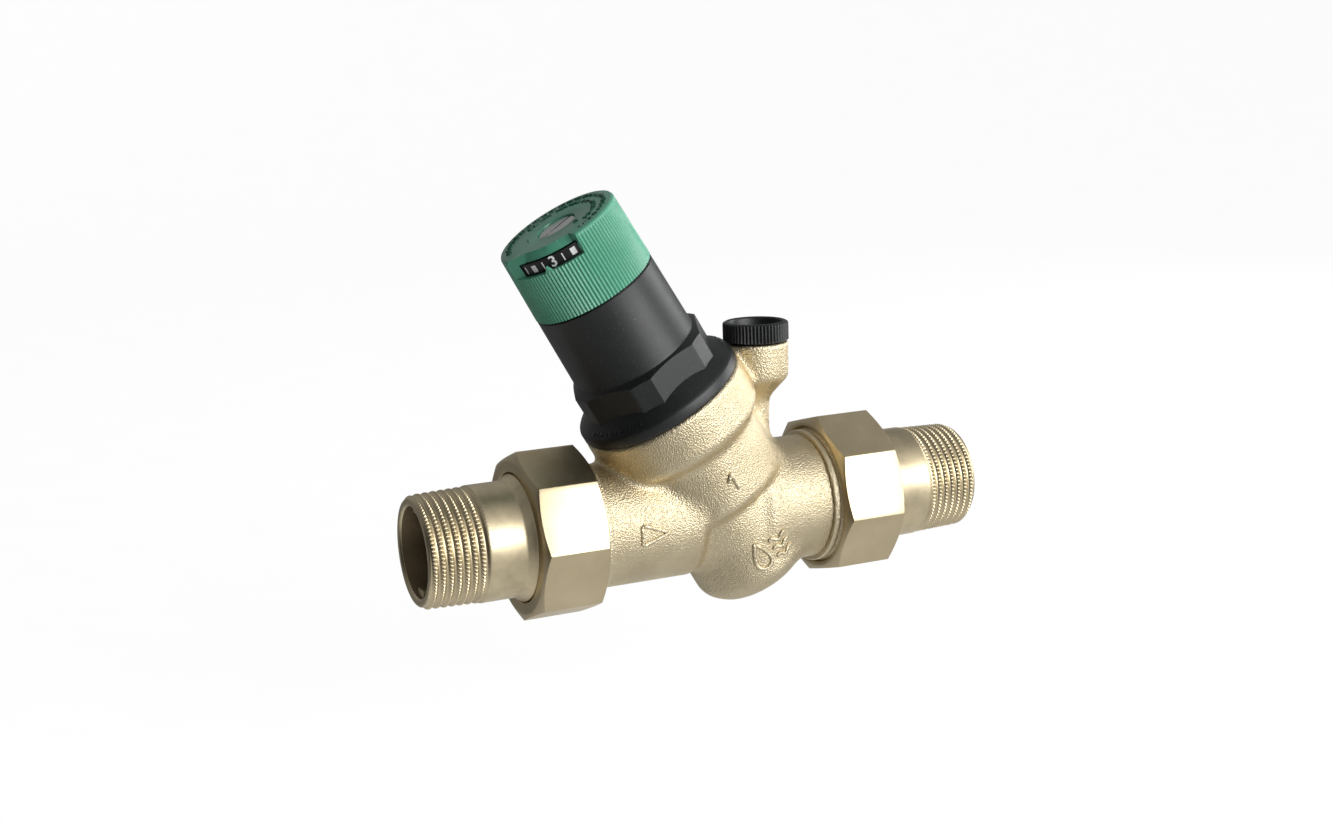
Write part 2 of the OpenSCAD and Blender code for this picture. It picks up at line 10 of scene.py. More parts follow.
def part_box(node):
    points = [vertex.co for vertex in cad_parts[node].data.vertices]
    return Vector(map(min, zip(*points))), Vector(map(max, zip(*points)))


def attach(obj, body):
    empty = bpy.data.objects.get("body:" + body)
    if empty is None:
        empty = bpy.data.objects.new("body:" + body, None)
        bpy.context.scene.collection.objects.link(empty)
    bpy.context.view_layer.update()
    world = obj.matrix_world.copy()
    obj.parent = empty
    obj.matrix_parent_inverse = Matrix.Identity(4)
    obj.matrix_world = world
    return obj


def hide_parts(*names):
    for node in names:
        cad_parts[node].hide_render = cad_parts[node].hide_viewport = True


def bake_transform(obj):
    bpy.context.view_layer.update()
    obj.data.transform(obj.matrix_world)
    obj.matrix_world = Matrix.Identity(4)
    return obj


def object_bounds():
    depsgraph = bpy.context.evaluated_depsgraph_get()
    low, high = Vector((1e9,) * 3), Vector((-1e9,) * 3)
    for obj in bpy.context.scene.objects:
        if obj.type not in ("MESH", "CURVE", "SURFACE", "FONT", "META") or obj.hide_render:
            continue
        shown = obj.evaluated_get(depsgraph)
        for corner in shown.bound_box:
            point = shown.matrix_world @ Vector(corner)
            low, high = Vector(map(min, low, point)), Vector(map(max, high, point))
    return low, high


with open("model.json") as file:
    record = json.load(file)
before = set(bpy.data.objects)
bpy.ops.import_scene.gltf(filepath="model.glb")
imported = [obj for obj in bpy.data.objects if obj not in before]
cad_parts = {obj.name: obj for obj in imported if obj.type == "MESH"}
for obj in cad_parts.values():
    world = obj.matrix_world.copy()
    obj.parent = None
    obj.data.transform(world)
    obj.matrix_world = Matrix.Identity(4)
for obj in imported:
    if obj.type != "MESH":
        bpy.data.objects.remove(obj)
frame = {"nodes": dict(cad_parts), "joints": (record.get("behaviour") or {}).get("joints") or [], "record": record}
cad_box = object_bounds()

# -------------------------------------------- frame sizes
# Lengths are metres in the shared frame: X along the pipe, Z up, the bonnet axis leaning to -X.
MM = 0.001
SMOOTH = math.radians(35)                                  # edges sharper than this stay sharp
JOINTS = {joint["name"]: joint for joint in frame["joints"]}
AXIS_FOOT = Vector(JOINTS["knob_turn"]["pos_m"])           # where the bonnet axis meets the pipe axis
AXIS_UP = -Vector(JOINTS["knob_turn"]["axis"]).normalized()
AXIS_RIGHT = Vector((AXIS_UP.z, 0.0, -AXIS_UP.x))
LENGTH = (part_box("outlet_tailpiece")[1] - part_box("inlet_tailpiece")[0]).x
GAUGE_X = JOINTS["plug_turn"]["pos_m"][0]

BONNET_FRAME = Matrix((
    (AXIS_RIGHT.x, 0.0, AXIS_UP.x, AXIS_FOOT.x),
    (0.0, 1.0, 0.0, 0.0),
    (AXIS_RIGHT.z, 0.0, AXIS_UP.z, 0.0),
    (0.0, 0.0, 0.0, 1.0),
))
INLET_FRAME = Matrix(((0, 0, 1, 0), (0, 1, 0, 0), (-1, 0, 0, 0), (0, 0, 0, 1)))
OUTLET_FRAME = Matrix(((0, 0, -1, LENGTH), (0, 1, 0, 0), (1, 0, 0, 0), (0, 0, 0, 1)))
GAUGE_FRAME = Matrix.Translation((GAUGE_X, 0.0, 0.0))


# -------------------------------------------- node helpers
class Nodes:
    """Short calls for building one material's node tree."""

    def __init__(self, name):
        self.material = bpy.data.materials.new(name)
        self.material.use_nodes = True
        self.tree = self.material.node_tree
        self.shader = self.tree.nodes["Principled BSDF"]
        self.place = self.tree.nodes.new("ShaderNodeTexCoord").outputs["Object"]

    def link(self, source, target):
        self.tree.links.new(source, target)

    def node(self, kind, **constants):
        made = self.tree.nodes.new("ShaderNode" + kind)
        for name, value in constants.items():
            made.inputs[name.replace("_", " ")].default_value = value
        return made

    def scaled(self, scale):
        node = self.node("Mapping", Scale=scale)
        self.link(self.place, node.inputs["Vector"])
        return node.outputs["Vector"]

    def noise(self, scale, detail=3.0, roughness=0.55, vector=None):
        node = self.node("TexNoise", Scale=scale, Detail=detail, Roughness=roughness)
        self.link(vector or self.place, node.inputs["Vector"])
        return node.outputs["Fac"]

    def cells(self, scale):
        node = self.node("TexVoronoi", Scale=scale)
        self.link(self.place, node.inputs["Vector"])
        return node.outputs

    def spread(self, value, low, high, out_low=0.0, out_high=1.0):
        node = self.node("MapRange", From_Min=low, From_Max=high, To_Min=out_low, To_Max=out_high)
        self.link(value, node.inputs["Value"])
        return node.outputs["Result"]

    def colours(self, value, first, second, low=0.3, high=0.7):
        node = self.node("ValToRGB")
        for element, position, colour in zip(node.color_ramp.elements, (low, high), (first, second)):
            element.position = position
            element.color = (*colour, 1.0)
        self.link(value, node.inputs["Fac"])
        return node.outputs["Color"]

    def mix(self, factor, first, second):
        node = self.node("Mix")
        node.data_type = "RGBA"
        colour_a, colour_b = 6, 7
        for number, value in ((0, factor), (colour_a, first), (colour_b, second)):
            socket = node.inputs[number]
            if isinstance(value, (int, float)):
                socket.default_value = value
            elif isinstance(value, tuple):
                socket.default_value = (*value, 1.0)
            else:
                self.link(value, socket)
        return node.outputs[2]

    def maths(self, operation, first, second):
        node = self.node("Math")
        node.operation = operation
        for socket, value in zip(node.inputs, (first, second)):
            if isinstance(value, (int, float)):
                socket.default_value = value
            else:
                self.link(value, socket)
        return node.outputs["Value"]

    def edges(self):
        """1 on sharp outer edges, 0.5 on flat ground, lower in hollows, from the mesh's pointiness."""
        node = self.node("NewGeometry")
        return self.spread(node.outputs["Pointiness"], 0.46, 0.54)

    def bump(self, height, strength, distance, normal=None):
        node = self.node("Bump", Strength=strength, Distance=distance)
        self.link(height, node.inputs["Height"])
        if normal:
            self.link(normal, node.inputs["Normal"])
        return node.outputs["Normal"]

    def finish(self, colour=None, roughness=None, normal=None, **constants):
        for name, value in constants.items():
            self.shader.inputs[name.replace("_", " ")].default_value = value
        for name, value in (("Base Color", colour), ("Roughness", roughness), ("Normal", normal)):
            if value is None:
                continue
            if isinstance(value, (int, float)):
                self.shader.inputs[name].default_value = value
            else:
                self.link(value, self.shader.inputs[name])
        return self.material


# -------------------------------------------- materials
def cast_brass():
    """Shot-blasted casting: pale brass with overlapping dimples and tiny glints."""
    n = Nodes("cast_brass")
    dimples = n.cells(2000)["Distance"]
    grit = n.noise(3400, 2.0)
    patches = n.noise(90, 4.0)
    colour = n.colours(patches, (0.66, 0.56, 0.37), (0.80, 0.69, 0.475))
    # Paler brass on sharp outer edges from the mesh's pointiness: painted edge highlight.
    colour = n.mix(n.spread(n.edges(), 0.5, 1.0, 0.0, 0.35), colour, (0.92, 0.84, 0.63))
    rough = n.spread(n.cells(2000)["Color"], 0.0, 1.0, 0.32, 0.52)
    normal = n.bump(n.noise(1000, 3.0), 0.22, 0.0003)
    normal = n.bump(dimples, 0.75, 0.0002, normal)
    normal = n.bump(grit, 0.7, 0.00015, normal)
    return n.finish(colour, rough, normal, Metallic=1.0)


def turned_brass():
    """Machined brass: fine tool lines round the part, with a little tarnish."""
    n = Nodes("turned_brass")
    base = (0.74, 0.63, 0.42)
    lines = n.noise(1.0, 3.0, vector=n.scaled((9000, 60, 60)))
    tarnish = n.noise(120, 5.0, 0.65)
    dark = tuple(0.80 * c for c in base)
    light = tuple(min(1.0, 1.10 * c) for c in base)
    colour = n.colours(tarnish, dark, light, high=0.65)
    rough = n.spread(n.maths("ADD", lines, tarnish), 0.6, 1.4, 0.33, 0.43)
    normal = n.bump(lines, 0.08, 0.00003)
    return n.finish(colour, rough, normal, Metallic=1.0)


def bore_brass():
    """Unpolished inside of a pipe: dark brown metal that paints the shade deep in the bore, with darker random
    streaks.
    """
    n = Nodes("bore_brass")
    mottle = n.noise(220, 5.0, 0.65)
    # Dark brown colours: painted shade for the inside of the bore, which lies in shade.
    colour = n.colours(mottle, (0.16, 0.115, 0.065), (0.27, 0.21, 0.13))
    rough = n.spread(mottle, 0.3, 0.7, 0.42, 0.6)
    return n.finish(colour, rough, n.bump(n.noise(1500, 3.0), 0.2, 0.00006), Metallic=1.0)


def nut_brass():
    """Milled flats: smoother than the turned ends, with faint diagonal cutter marks."""
    n = Nodes("nut_brass")
    marks = n.noise(1.0, 2.0, vector=n.scaled((2600, 240, 240)))
    tarnish = n.noise(60, 5.0, 0.6)
    colour = n.colours(tarnish, (0.64, 0.53, 0.335), (0.78, 0.665, 0.445))
    rough = n.spread(n.maths("ADD", marks, tarnish), 0.6, 1.4, 0.34, 0.44)
    normal = n.bump(marks, 0.08, 0.00003)
    normal = n.bump(n.noise(3500, 2.0), 0.05, 0.00003, normal)
    return n.finish(colour, rough, normal, Metallic=1.0)


def moulded_plastic(name, colours, low_rough=0.34, high_rough=0.50, speck=None, sheen=0.45):
    """Injection-moulded plastic: fine skin grain, cloudy gloss and optional glass-fibre specks."""
    n = Nodes(name)
    cloud = n.noise(70, 4.0)
    colour = n.colours(cloud, *colours)
    grains = n.noise(2600, 3.0, 0.6)
    if speck:
        fibres = n.spread(n.noise(2400, 1.0, 0.5), 0.68, 0.74)
        colour = n.mix(n.maths("MULTIPLY", fibres, 0.5), colour, speck)
    rough = n.spread(n.maths("ADD", grains, cloud), 0.6, 1.4, low_rough, high_rough)
    normal = n.bump(grains, 0.16, 0.00006)
    normal = n.bump(n.noise(420, 2.0), 0.10, 0.0001, normal)
    return n.finish(colour, rough, normal, Specular_IOR_Level=sheen)


def rubber(name, shade):
    """Matt rubber or fibre sheet with a dusty bloom."""
    n = Nodes(name)
    bloom = n.noise(300, 5.0, 0.7)
    dusty = (1.9 * shade, 1.9 * shade, 1.8 * shade)
    colour = n.colours(bloom, (shade, shade, shade), dusty, high=0.75)
    rough = n.spread(bloom, 0.3, 0.7, 0.62, 0.82)
    return n.finish(colour, rough, n.bump(n.noise(2500, 3.0), 0.2, 0.00005))


def steel(name, base, low_rough, high_rough):
    """Machined or plated steel with fine directional marks and faint stains."""
    n = Nodes(name)
    marks = n.noise(1.0, 3.0, vector=n.scaled((5000, 5000, 300)))
    mottle = n.noise(250, 4.0)
    dark = tuple(0.82 * c for c in base)
    colour = n.colours(mottle, dark, base)
    rough = n.spread(n.maths("ADD", marks, mottle), 0.6, 1.4, low_rough, high_rough)
    return n.finish(colour, rough, n.bump(marks, 0.12, 0.00003), Metallic=1.0)


def mesh_steel():
    """Fine woven strainer mesh drawn by two crossed families of wires."""
    n = Nodes("strainer_mesh")
    wires = []
    for scale in ((0.0, 0.0, 2500.0), (2500.0, 0.0, 0.0), (0.0, 2500.0, 0.0)):
        node = n.node("TexWave", Scale=1.0)
        n.link(n.scaled(scale), node.inputs["Vector"])
        wires.append(node.outputs["Fac"])
    weave = n.maths("MAXIMUM", n.maths("MAXIMUM", wires[0], wires[1]), wires[2])
    colour = n.colours(weave, (0.03, 0.03, 0.03), (0.62, 0.62, 0.60), 0.55, 0.85)
    return n.finish(colour, 0.35, n.bump(weave, 0.6, 0.0001), Metallic=0.9)


def print_white():
    """Slightly worn white pad print."""
    n = Nodes("print_white")
    wear = n.noise(1800, 3.0)
    colour = n.colours(wear, (0.78, 0.78, 0.78), (0.95, 0.95, 0.95), 0.25, 0.5)
    return n.finish(colour, 0.45, n.bump(wear, 0.1, 0.00002))


MATERIALS = {
    "cast_brass": cast_brass(),
    "turned_brass": turned_brass(),
    "nut_brass": nut_brass(),
    "fibre_gasket": rubber("fibre_gasket", 0.10),
    "black_plastic": moulded_plastic("black_plastic", [(0.004, 0.006, 0.006), (0.008, 0.010, 0.010)],
                                     low_rough=0.36, high_rough=0.52, speck=(0.10, 0.11, 0.11), sheen=0.65),
    "scale_plastic": moulded_plastic("scale_plastic", [(0.006, 0.006, 0.007), (0.010, 0.010, 0.011)]),
    "green_plastic": moulded_plastic("green_plastic", [(0.105, 0.40, 0.26), (0.130, 0.45, 0.30)],
                                     low_rough=0.24, high_rough=0.36, sheen=0.6),
    # Darker green for the knob face's raised marks, which are the knob's own plastic: painted shade for their
    # shaded sides.
    "green_painted_shade": moulded_plastic("green_painted_shade", [(0.020, 0.105, 0.062), (0.030, 0.135, 0.080)]),
    "ivory_plastic": moulded_plastic("ivory_plastic", [(0.62, 0.58, 0.46), (0.70, 0.67, 0.56)]),
    "steel": steel("steel", (0.62, 0.62, 0.60), 0.22, 0.36),
    "zinc_steel": steel("zinc_steel", (0.72, 0.74, 0.73), 0.30, 0.48),
    "spring_steel": steel("spring_steel", (0.34, 0.35, 0.37), 0.25, 0.40),
    "rubber": rubber("rubber", 0.035),
}
BORE_PAINTED_SHADE = bore_brass()
PRINT_WHITE = print_white()
STRAINER_MESH = mesh_steel()


# -------------------------------------------- mesh helpers
def add_object(name, data):
    piece = bpy.data.objects.new(name, data)
    bpy.context.scene.collection.objects.link(piece)
    return piece


def tube(faces, first, count, rows):
    """Adds the faces round and at both ends of rows of count points, the first row starting at a point."""
    last = first + (rows - 1) * count
    faces.append(tuple(first + i for i in reversed(range(count))))
    faces.append(tuple(last + i for i in range(count)))
    for here in range(first, last, count):
        for i in range(count):
            j = (i + 1) % count
            faces.append((here + i, here + j, here + count + j, here + count + i))


def make_object(name, vertices, faces, matrix=None, smooth_angle=SMOOTH):
    """A mesh object from vertices in millimetres in a local frame, placed by matrix."""
    mesh = bpy.data.meshes.new(name)
    mesh.from_pydata([tuple(MM * c for c in v) for v in vertices], [], faces)
    if matrix is not None:
        mesh.transform(matrix)
    built = bmesh.new()
    built.from_mesh(mesh)
    bmesh.ops.remove_doubles(built, verts=built.verts, dist=1e-6)
    bmesh.ops.dissolve_degenerate(built, edges=built.edges, dist=1e-7)
    bmesh.ops.recalc_face_normals(built, faces=built.faces)
    built.to_mesh(mesh)
    built.free()
    piece = add_object(name, mesh)
    shade(piece, smooth_angle)
    return piece


def shade(piece, smooth_angle=SMOOTH):
    """Smooth shading with edges above an angle kept sharp."""
    piece.data.shade_smooth()
    piece.data.set_sharp_from_angle(angle=smooth_angle)


def lathe(name, profile, matrix, steps=192, start=0.0, smooth_angle=SMOOTH):
    """Turns a closed outline of (r, t) points about local Z. The outline may be a function of the angle."""
    profile_at = profile if callable(profile) else lambda angle: profile
    points = []
    for k in range(steps):
        angle = start + 2 * math.pi * k / steps
        for r, t in profile_at(angle):
            points.append((r * math.cos(angle), r * math.sin(angle), t))
    count = len(points) // steps
    faces = []
    for k in range(steps):
        here, there = k * count, (k + 1) % steps * count
        for i in range(count):
            j = (i + 1) % count
            faces.append((here + i, here + j, there + j, there + i))
    return make_object(name, points, faces, matrix, smooth_angle)


def sector(name, profile, low, high, matrix, least, flare):
    """Part of a turned solid between two angles in degrees, closed at both ends.

    Its ends open outwards by some degrees for each millimetre of radius beyond the least one.
    """
    steps = 24
    points = []
    for k in range(steps + 1):
        share = k / steps
        for r, t in profile:
            start = low - flare[0] * max(0.0, r - least)
            end = high + flare[1] * max(0.0, r - least)
            angle = math.radians(start + (end - start) * share)
            points.append((r * math.cos(angle), r * math.sin(angle), t))
    count = len(profile)
    faces = [tuple(range(count)), tuple(steps * count + i for i in reversed(range(count)))]
    for here in range(0, steps * count, count):
        for i in range(count):
            j = (i + 1) % count
            faces.append((here + i, here + j, here + count + j, here + count + i))
    return make_object(name, points, faces, matrix)


def marks(name, places, matrix):
    """Small raised blocks with sloping sides: each is centre, length direction, outward direction, sizes."""
    points, faces = [], []
    sides = [(-1, -1), (1, -1), (1, 1), (-1, 1)]
    for centre, along, outward, length, width, height in places:
        along, outward = Vector(along).normalized(), Vector(outward).normalized()
        across = outward.cross(along)
        first = len(points)
        for lift, shrink in ((-0.3, 0.0), (height, 0.12)):
            for a, b in sides:
                points.append(tuple(Vector(centre) + outward * lift + along * a * (length / 2 - shrink)
                                    + across * b * (width / 2 - shrink)))
        tube(faces, first, 4, 2)
    return make_object(name, points, faces, matrix)


def add_piece(piece, body, slot, nodes=(), material=None):
    """Gives a piece its material, picked by its slot unless one is given, hides the CAD nodes it stands for and,
    when a body is named, parents it to that body.
    """
    piece.data.materials.clear()
    piece.data.materials.append(material or MATERIALS[slot])
    if body:
        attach(piece, body)
    if nodes:
        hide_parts(*nodes)


def cut(piece, cutter):
    """Exact boolean difference of two pieces; the cutter is removed."""
    modifier = piece.modifiers.new("cut", "BOOLEAN")
    modifier.operation = "DIFFERENCE"
    modifier.solver = "EXACT"
    modifier.object = cutter
    apply_modifiers(piece)
    bpy.data.objects.remove(cutter)


def apply_modifiers(piece):
    bpy.context.view_layer.update()
    evaluated = piece.evaluated_get(bpy.context.evaluated_depsgraph_get())
    mesh = bpy.data.meshes.new_from_object(evaluated)
    piece.modifiers.clear()
    piece.data = mesh


def bevel(piece, width, segments=2, angle=math.radians(30)):
    """Small rounding of the piece's sharp edges, applied to the mesh."""
    modifier = piece.modifiers.new("bevel", "BEVEL")
    modifier.width = width * MM
    modifier.segments = segments
    modifier.limit_method = "ANGLE"
    modifier.angle_limit = angle
    apply_modifiers(piece)
    shade(piece)


# -------------------------------------------- cast body
# The casting is the zero surface of a smooth union of round solids less its water passages.
# Distances are millimetres: positive outside the metal, negative inside it.
CAST_START, CAST_END = 52.9, LENGTH / MM - 52.9
INLET_R, OUTLET_R, BOWL_R, CHAMBER_R, CUP_R = 18.3, 18.9, 25.55, 21.8, 18.4
BOWL_TOP, GAUGE_TOP, GAUGE_BOSS_R = 41.55, 49.6, 9.7
FLOW_R = 13.1


def bonnet_coordinates(points):
    """Across and along the bonnet axis: right of the axis, towards the back, up the axis."""
    moved = points - np.array(AXIS_FOOT) / MM
    right = moved @ np.array(AXIS_RIGHT)
    return right, moved[:, 1], moved @ np.array(AXIS_UP)


def round_bar(across_a, across_b, along, radius, low, high, edge=0.0):
    """Distance to a cylinder between two ends, with rounded rims."""
    side = np.hypot(across_a, across_b) - radius
    ends = np.maximum(low - along, along - high)
    side, ends = side + edge, ends + edge
    outside = np.hypot(np.maximum(side, 0), np.maximum(ends, 0))
    return outside + np.minimum(np.maximum(side, ends), 0) - edge


def join(first, second, blend):
    """Smooth union: the two surfaces meet in a fillet of about the given size."""
    h = np.maximum(blend - np.abs(first - second), 0) / blend
    return np.minimum(first, second) - h * h * blend / 4


def carve(solid, hollow, blend):
    """Smooth difference."""
    h = np.maximum(blend - np.abs(solid + hollow), 0) / blend
    return np.maximum(solid, -hollow) + h * h * blend / 4


def casting_distance(points):
    x, y, z = points[:, 0], points[:, 1], points[:, 2]
    right, back, up = bonnet_coordinates(points)
    from_port = x - GAUGE_X / MM

    chamber = round_bar(right, back, up, CHAMBER_R, 6.0, 34.0, 3.0)
    bowl = round_bar(right, back, up, BOWL_R, 26.6, 60.0, 4.0)
    cup = round_bar(right + 1.7, back, up, CUP_R, -23.8, 12.0, 7.0)
    inlet = round_bar(y, z, x, INLET_R, 40.0, 83.6, 2.5)
    outlet = round_bar(y, z, x, OUTLET_R, 103.5, 140.0, 2.5)
    core = round_bar(y, z, x, 15.6, 70.0, 112.0, 2.0)
    solid = join(chamber, bowl, 3.0)
    solid = join(solid, join(cup, core, 4.0), 2.6)
    solid = join(solid, inlet, 2.8)
    solid = join(solid, outlet, 4.0)

    # The gauge boss is a neck that swells into a cone and levels off at its full radius.
    neck_r, cone_start, cone_slope, foot = 3.4, 32.8, 1.02, 12.0
    rise = (z - cone_start) * cone_slope
    swell = (rise + np.sqrt(rise ** 2 + 2.5)) / 2
    over = neck_r + swell - GAUGE_BOSS_R
    boss_r = neck_r + swell - (over + np.sqrt(over ** 2 + 0.8)) / 2
    boss = np.maximum((np.hypot(from_port, y) - boss_r) * 0.8, foot - z)
    solid = join(solid, boss, 2.5)

    solid = np.maximum(solid, np.maximum(CAST_START - x, x - CAST_END))
    solid = carve(solid, BOWL_TOP - up, 1.6)
    solid = carve(solid, GAUGE_TOP - z, 0.8)

    # Water comes in below the chamber's floor and leaves above it.
    below_floor = 7.0 - up
    wide_inlet = round_bar(y, z, x, FLOW_R, 0.0, 98.5)
    before_wall = np.minimum(below_floor, 18.0 - np.hypot(right, back))
    inlet_way = np.maximum(wide_inlet, np.where(x < 80.0, before_wall, below_floor))
    wide_outlet = round_bar(y, z, x, FLOW_R, 98.5, 190.0)
    outlet_way = np.maximum(wide_outlet, np.minimum(up + 3.0, 20.6 - np.hypot(right, back)))
    solid = carve(solid, inlet_way, 1.0)
    solid = carve(solid, outlet_way, 1.0)
    for radius, low in ((22.6, 30.4), (20.3, 27.6), (16.6, 7.0), (14.4, -19.5)):
        solid = np.maximum(solid, -round_bar(right, back, up, radius, low, 70.0))
    solid = np.maximum(solid, -round_bar(from_port, y, z, 8.2, 47.9, 70.0))
    return np.maximum(solid, -round_bar(from_port, y, z, 6.6, 37.6, 70.0))


def surface_net(distance, low, high, step):
    """Quads of the zero surface of a distance function on a regular grid of cells."""
    axes = [np.arange(a, b + step, step) for a, b in zip(low, high)]
    shape = tuple(len(a) for a in axes)
    grid = np.stack(np.meshgrid(*axes, indexing="ij"), axis=-1).reshape(-1, 3)
    values = distance(grid).reshape(shape)
    inside = values < 0
    corners = [(i, j, k) for i in (0, 1) for j in (0, 1) for k in (0, 1)]

    def corner_block(array, offset):
        return array[tuple(slice(o, o + n - 1) for o, n in zip(offset, shape))]

    filled = sum(corner_block(inside, c).astype(int) for c in corners)
    active = (filled > 0) & (filled < 8)
    cell_index = -np.ones(active.shape, int)
    cell_index[active] = np.arange(active.sum())
    total = np.zeros(active.shape + (3,))
    crossings = np.zeros(active.shape)
    for first in corners:
        for axis in range(3):
            if first[axis]:
                continue
            second = tuple(o + (a == axis) for a, o in enumerate(first))
            here, there = corner_block(values, first), corner_block(values, second)
            crosses = (here < 0) != (there < 0)
            share = np.where(crosses, here / np.where(crosses, here - there, 1.0), 0.0)
            for a in range(3):
                total[..., a] += np.where(crosses, first[a] + (share if a == axis else 0.0), 0.0)
            crossings += crosses
    cells = np.argwhere(active)
    points = (cells + total[active] / crossings[active][:, None]) * step + np.array(low)

    quads = []
    for axis in range(3):
        u, v = (axis + 1) % 3, (axis + 2) % 3
        lower = tuple(slice(0, -1) if a == axis else slice(1, -1) for a in range(3))
        upper = tuple(slice(1, None) if a == axis else slice(1, -1) for a in range(3))
        starts, ends = inside[lower], inside[upper]
        for edge_on, turned in ((starts & ~ends, False), (~starts & ends, True)):
            at = np.argwhere(edge_on)
            at[:, u] += 1
            at[:, v] += 1
            ring = []
            for du, dv in ((-1, -1), (0, -1), (0, 0), (-1, 0)):
                cell = at.copy()
                cell[:, u] += du
                cell[:, v] += dv
                ring.append(cell_index[tuple(cell.T)])
            ring = np.stack(ring, axis=1)
            quads.append(ring[:, ::-1] if turned else ring)
    return points, np.concatenate(quads)


def gradient(points, distance, probe):
    return np.stack([(distance(points + probe * e) - distance(points - probe * e)) / (2 * probe)
                     for e in np.eye(3)], axis=1)


def settle(points, distance, rounds=4, reach=0.4):
    """Moves points onto the zero surface along the distance's gradient."""
    for _ in range(rounds):
        value = distance(points)
        slope = gradient(points, distance, 0.02)
        size = np.maximum((slope ** 2).sum(1), 0.25)
        points = points - np.clip(value / size, -reach, reach)[:, None] * slope
    return points


def cast_body():
    low, high, step = (50.5, -27.5, -27.0), (127.5, 27.5, 52.0), 0.65
    points, quads = surface_net(casting_distance, low, high, step)
    points = settle(points, casting_distance)
    mesh = bpy.data.meshes.new("cast_body")
    mesh.from_pydata((points * MM).tolist(), [], quads.tolist())
    mesh.validate()
    piece = add_object("cast_body", mesh)
    shade(piece, math.radians(50))
    add_piece(piece, "housing", "cast_brass", ["valve_body"])


def relief(name, strokes, radius):
    """Raised cast lines: round bars half sunk into the casting along strokes of points near its skin."""
    sides = 8
    points, faces = [], []
    for stroke in strokes:
        stroke = np.array(stroke, float)
        lengths = np.linalg.norm(np.diff(stroke, axis=0), axis=1)
        at = np.concatenate([[0], np.cumsum(lengths)])
        count = max(4, int(at[-1] / 0.35) + 1)
        spaced = np.linspace(0, at[-1], count)
        line = np.stack([np.interp(spaced, at, stroke[:, k]) for k in range(3)], axis=1)
        line = settle(line, casting_distance, rounds=6, reach=1.5)
        outward = gradient(line, casting_distance, 0.05)
        outward /= np.linalg.norm(outward, axis=1)[:, None]
        along = np.gradient(line, axis=0)
        along /= np.linalg.norm(along, axis=1)[:, None]
        across = np.cross(outward, along)
        first = len(points)
        for k in range(count):
            swell = 0.35 if k in (0, count - 1) else 1.0
            for j in range(sides):
                angle = 2 * math.pi * j / sides
                points.append(tuple(line[k] + radius * swell * (math.cos(angle) * across[k]
                                                                + math.sin(angle) * outward[k])))
        tube(faces, first, sides, count)
    piece = make_object(name, points, faces, None, math.radians(70))
    add_piece(piece, "housing", "cast_brass")


def around_bonnet(radius, angle, height):
    """Point beside the bonnet axis: angle in degrees from the front towards the outlet side."""
    a = math.radians(angle)
    spot = Vector((radius * math.sin(a), -radius * math.cos(a), height))
    return tuple(BONNET_FRAME.to_3x3() @ spot + AXIS_FOOT / MM)


def casting_marks():
    """Flow triangle on the inlet branch, a numeral on the chamber and a water drop on the cup."""
    def on_branch(x, angle):
        a = math.radians(angle)
        return (x, -INLET_R * math.cos(a), INLET_R * math.sin(a))

    tail, tip, half_angle = 62.6, 71.2, 9.5
    triangle = [on_branch(tail, half_angle), on_branch(tip, 0), on_branch(tail, -half_angle),
                on_branch(tail, half_angle)]
    relief("flow_triangle", [[triangle[i], triangle[i + 1]] for i in range(3)], 0.62)

    numeral = [(-5.5, 15.9), (0.0, 18.2), (0.0, 12.6)]
    relief("size_numeral", [[around_bonnet(CHAMBER_R, a, t) for a, t in numeral]], 0.75)

    drop_angle, drop_t, half_height = -12.5, -10.8, 4.6
    drop = []
    for k in range(25):
        turn = 2 * math.pi * k / 24
        wide = 3.5 * math.sin(turn) * math.sin(turn / 2) ** 1.5
        drop.append(around_bonnet(CUP_R, drop_angle + math.degrees(wide / CUP_R),
                                  drop_t + half_height * math.cos(turn)))
    wave_start, wave_step, wave_t = 0.5, 1.7, -11.8
    waves = [[around_bonnet(CUP_R, wave_start + wave_step * k, wave_t + shift + 0.75 * math.sin(0.85 * k))
              for k in range(12)] for shift in (-2.8, 0.0, 2.8)]
    relief("water_drop", [drop] + waves, 0.66)


# -------------------------------------------- union joints
PITCH = 25.4 / 11
NUT_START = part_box("inlet_union_nut")[0].x / MM
NUT_LENGTH = (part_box("inlet_union_nut")[1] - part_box("inlet_union_nut")[0]).x / MM
NUT_FLATS = 46.5
BODY_FACE = 40.4
PIPE_MOUTH_R, NECK_R = 15.2, 16.95


def smooth_step(value, low, high):
    f = min(1.0, max(0.0, (value - low) / (high - low)))
    return f * f * (3 - 2 * f)


def pipe_thread_radius(t, angle):
    """Tapered pipe thread with fine serrations that hold the sealing tape on its crests."""
    first_crest, serrations, notch_depth = 2.1, 88, 0.55
    crest = 16.32 + 0.03 * t
    wave = 0.5 + 0.5 * math.cos(2 * math.pi * ((t - first_crest) / PITCH - angle / (2 * math.pi)))
    ridge = wave ** 1.3
    depth = 0.9 * (1 - 0.85 * smooth_step(t, 15.6, 17.2))
    notch = (0.5 - 0.5 * math.cos(serrations * angle)) ** 0.7
    radius = crest - depth * (1 - ridge) - notch_depth * notch * max(0.0, (wave - 0.5) / 0.5)
    radius = min(radius, PIPE_MOUTH_R + 0.95 * t)
    return radius + (NECK_R - radius) * smooth_step(t, 16.6, 17.5)


